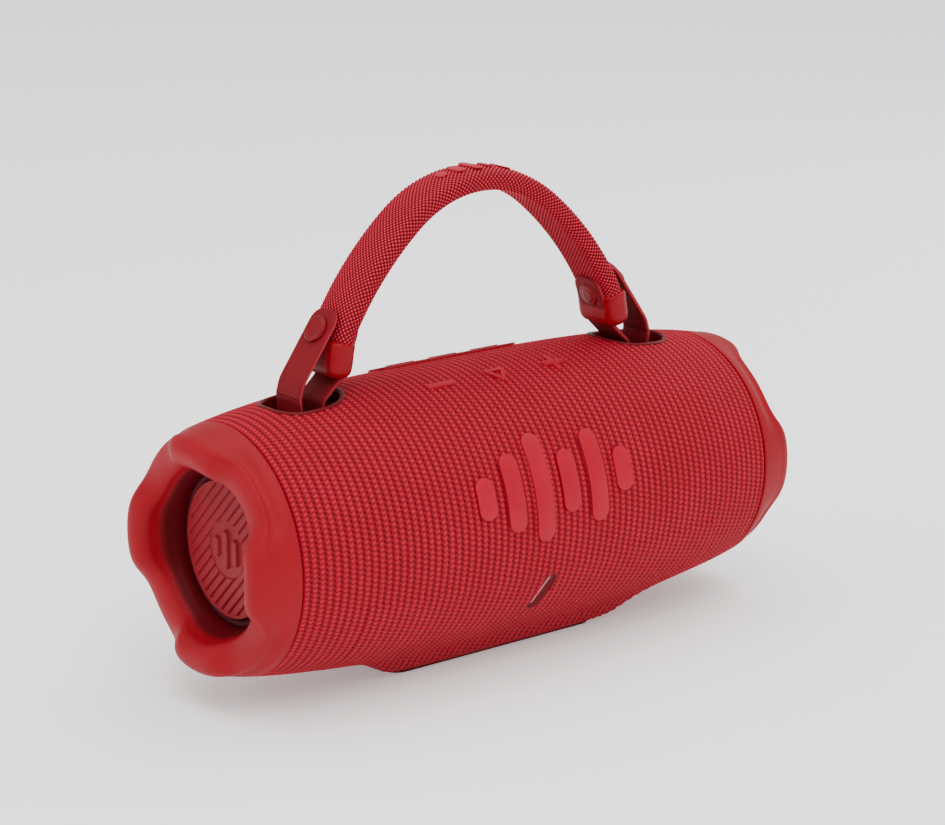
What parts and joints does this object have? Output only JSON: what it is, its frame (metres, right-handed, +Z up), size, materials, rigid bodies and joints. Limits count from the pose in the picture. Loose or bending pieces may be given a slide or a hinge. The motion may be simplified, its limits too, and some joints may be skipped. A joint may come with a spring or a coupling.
{
  "type": "portable party speaker",
  "caption": "Barrel-shaped portable speaker in red knitted fabric with scalloped rubber end caps, side passive radiators, a flat foot and a woven strap handle that swings and unsnaps.",
  "frame": {"origin": "centre of the foot's underside, on the surface the speaker stands on", "axes": "+X along the barrel towards its right end, seen from the front; -Y towards the front, where the emblem is; +Z up, towards the handle"},
  "size_m": [0.2288, 0.0947, 0.1646],
  "materials": {
    "sleeve_knit": "knitted, matt",
    "strap_knit": "ribbed weave, matt",
    "ribbon": "coated webbing, satin",
    "rubber": "soft-touch, satin",
    "foot_rubber": "matt",
    "mark_rubber": "smooth, satin",
    "key_rubber": "smooth, satin",
    "disc_rubber": "satin",
    "dark_rubber": "matt",
    "shell_plastic": "moulded, matt",
    "cup_plastic": "moulded, matt",
    "lens": "clear diffuser",
    "bar_steel": "drawn",
    "snap_metal": "enamelled, satin",
    "screw_steel": "zinc plated",
    "magnet_steel": "zinc plated",
    "ferrite": "sintered, matt",
    "cone_paper": "pressed pulp, matt",
    "coil_copper": "enamelled wire",
    "port_metal": "plated",
    "board": "solder mask, satin",
    "chip": "moulded, matt",
    "cell_wrap": "shrink sleeve",
    "core_steel": "spring steel",
    "dome_silk": "coated silk"
  },
  "bodies": {
    "speaker": {"foot_pad": "foot_rubber", "base_block": "shell_plastic", "left_strap_cup": "cup_plastic", "right_strap_cup": "cup_plastic", "strap_bars": "bar_steel", "control_panel": "rubber", "circuit_boards": "board", "board_parts": "chip", "front_emblem": "mark_rubber", "status_light_lens": "lens", "charging_port": "port_metal", "port_bezel": "rubber", "fabric_sleeve": "sleeve_knit", "driver_baffle": "shell_plastic", "driver_screws": "screw_steel", "woofer_basket": "shell_plastic", "woofer_surround": "dark_rubber", "woofer_magnet": "ferrite", "woofer_top_plate": "magnet_steel", "woofer_yoke": "magnet_steel", "tweeter_housing": "shell_plastic", "tweeter_magnet": "magnet_steel", "enclosure_front_shell": "shell_plastic", "enclosure_rear_shell": "shell_plastic", "left_radiator_frame": "shell_plastic", "right_radiator_frame": "shell_plastic", "frame_screws": "screw_steel", "left_radiator_surround": "dark_rubber", "right_radiator_surround": "dark_rubber", "left_end_cap": "rubber", "right_end_cap": "rubber", "battery_cells": "cell_wrap", "battery_tray": "shell_plastic"},
    "handle": {"handle_strap": "strap_knit", "handle_core": "core_steel", "handle_emblem": "mark_rubber", "left_ferrule": "rubber", "right_ferrule": "rubber", "left_strap_loop": "ribbon", "right_strap_loop": "ribbon", "left_snap_socket": "snap_metal", "right_snap_socket": "snap_metal"},
    "left_tab": {"left_strap_tab": "ribbon", "left_snap_button": "snap_metal"},
    "right_tab": {"right_strap_tab": "ribbon", "right_snap_button": "snap_metal"},
    "volume_down": {"volume_down_key": "key_rubber"},
    "play": {"play_key": "key_rubber"},
    "volume_up": {"volume_up_key": "key_rubber"},
    "power": {"power_key": "key_rubber"},
    "pairing": {"pairing_key": "key_rubber"},
    "link": {"link_key": "key_rubber"},
    "left_radiator": {"left_radiator_diaphragm": "disc_rubber", "left_radiator_weight": "magnet_steel"},
    "right_radiator": {"right_radiator_diaphragm": "disc_rubber", "right_radiator_weight": "magnet_steel"},
    "woofer": {"woofer_cone": "cone_paper", "woofer_voice_coil": "coil_copper"},
    "tweeter": {"tweeter_dome": "dome_silk"}
  },
  "joints": [
    {"name": "handle_swing", "type": "hinge", "parent": "speaker", "child": "handle", "pos_m": [0, 0, 0.0895], "axis": [1, 0, 0], "range_deg": [-13, 13]},
    {"name": "left_tab_fold", "type": "hinge", "parent": "handle", "child": "left_tab", "pos_m": [-0.0742, 0, 0.098], "axis": [0, -1, 0], "range_deg": [0, 100]},
    {"name": "right_tab_fold", "type": "hinge", "parent": "handle", "child": "right_tab", "pos_m": [0.0742, 0, 0.098], "axis": [0, 1, 0], "range_deg": [0, 100]},
    {"name": "volume_down_press", "type": "slide", "parent": "speaker", "child": "volume_down", "axis": [0, 0.3007, -0.9537], "range_m": [0, 0.0005], "stiffness_N_per_m": 1500},
    {"name": "play_press", "type": "slide", "parent": "speaker", "child": "play", "axis": [0, 0.3007, -0.9537], "range_m": [0, 0.0005], "stiffness_N_per_m": 1500},
    {"name": "volume_up_press", "type": "slide", "parent": "speaker", "child": "volume_up", "axis": [0, 0.3007, -0.9537], "range_m": [0, 0.0005], "stiffness_N_per_m": 1500},
    {"name": "power_press", "type": "slide", "parent": "speaker", "child": "power", "axis": [0, -0.3256, -0.9455], "range_m": [0, 0.0005], "stiffness_N_per_m": 1500},
    {"name": "pairing_press", "type": "slide", "parent": "speaker", "child": "pairing", "axis": [0, -0.3256, -0.9455], "range_m": [0, 0.0005], "stiffness_N_per_m": 1500},
    {"name": "link_press", "type": "slide", "parent": "speaker", "child": "link", "axis": [0, -0.3256, -0.9455], "range_m": [0, 0.0005], "stiffness_N_per_m": 1500},
    {"name": "left_radiator_travel", "type": "slide", "parent": "speaker", "child": "left_radiator", "axis": [-1, 0, 0], "range_m": [-0.0025, 0.0025], "stiffness_N_per_m": 1500},
    {"name": "right_radiator_travel", "type": "slide", "parent": "speaker", "child": "right_radiator", "axis": [1, 0, 0], "range_m": [-0.0025, 0.0025], "stiffness_N_per_m": 1500},
    {"name": "woofer_travel", "type": "slide", "parent": "speaker", "child": "woofer", "axis": [0, -0.9659, 0.2588], "range_m": [-0.0025, 0.0025], "stiffness_N_per_m": 1500},
    {"name": "tweeter_travel", "type": "slide", "parent": "speaker", "child": "tweeter", "axis": [0, -0.9659, 0.2588], "range_m": [-0.0003, 0.0003], "stiffness_N_per_m": 1500}
  ]
}
